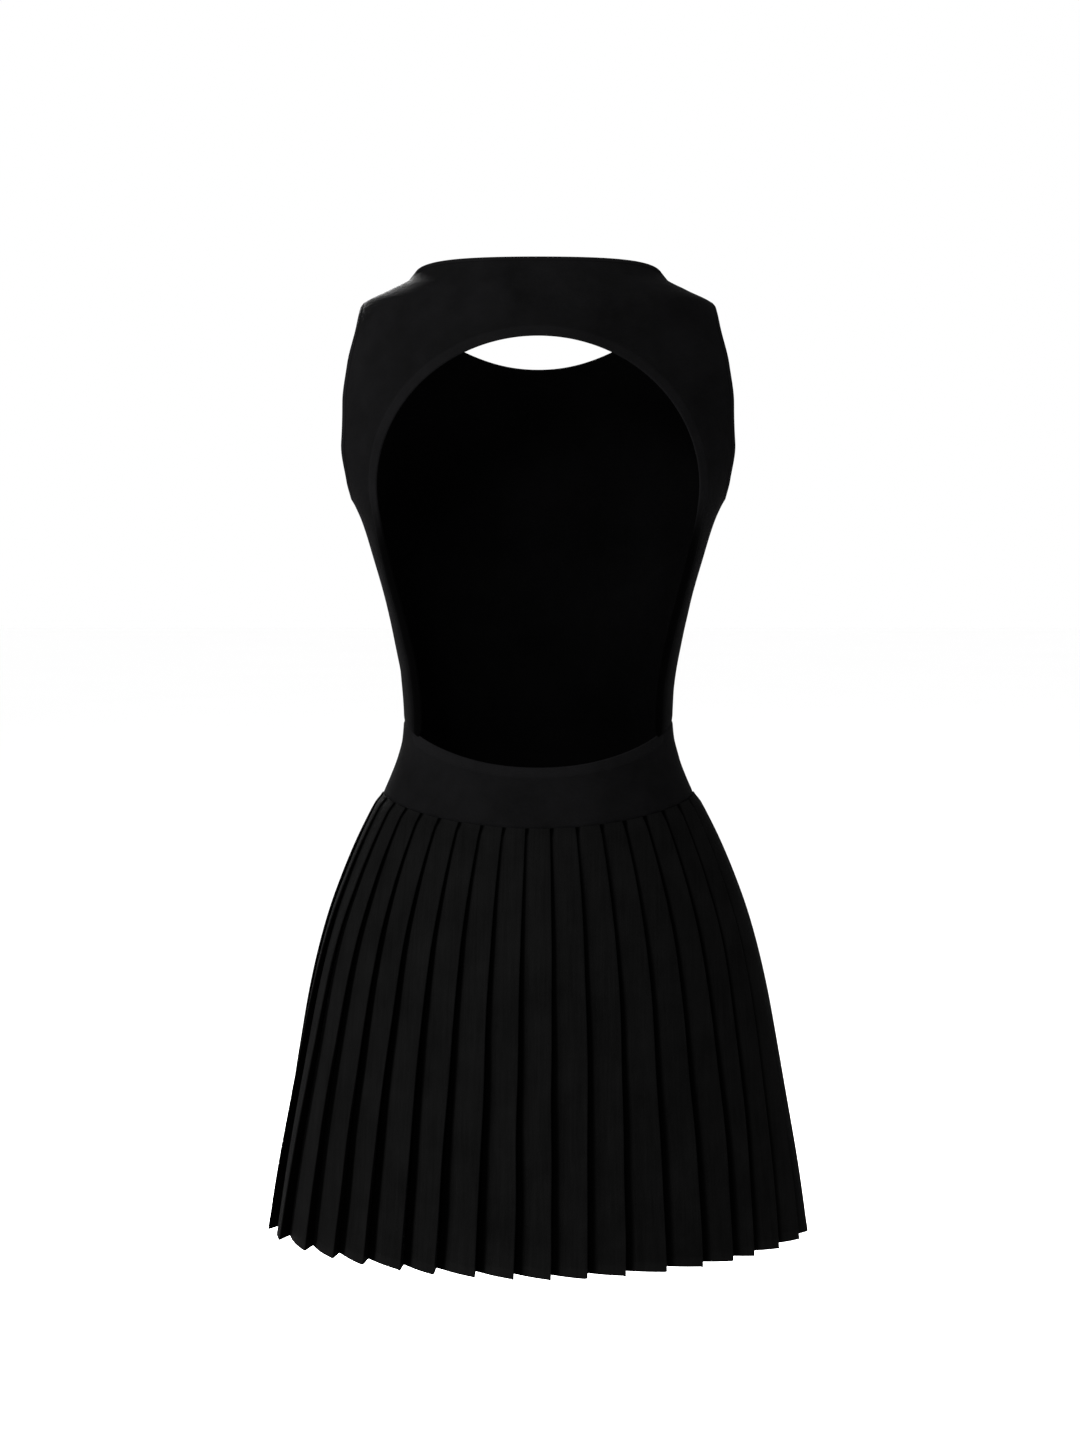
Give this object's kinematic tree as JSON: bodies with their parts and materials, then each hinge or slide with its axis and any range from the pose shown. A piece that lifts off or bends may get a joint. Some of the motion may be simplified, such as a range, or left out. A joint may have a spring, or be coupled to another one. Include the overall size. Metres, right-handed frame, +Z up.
{
  "type": "tennis dress",
  "caption": "Sleeveless open-back tennis dress: fitted knit bodice, shaped waistband and a flared knife-pleated skirt, in the hollow form it has when worn.",
  "frame": {"origin": "midway between the two shoulder seams, at shoulder height, where the wearer's shoulders hold the dress up", "axes": "+Z up to the wearer's head; +Y to the wearer's front, so the open back faces -Y; +X to the side that is on the right when the back is looked at"},
  "size_m": [0.4367, 0.304, 0.7715],
  "materials": {
    "bodice_knit": "smooth matt black jersey with a faint broad sheen",
    "pleated_cloth": "fine matt black woven cloth in pressed knife pleats"
  },
  "bodies": {
    "root": {"bodice_front": "bodice_knit", "bodice_back": "bodice_knit", "waistband_front": "bodice_knit", "waistband_back": "bodice_knit", "skirt_front": "pleated_cloth", "skirt_back": "pleated_cloth"}
  },
  "joints": []
}
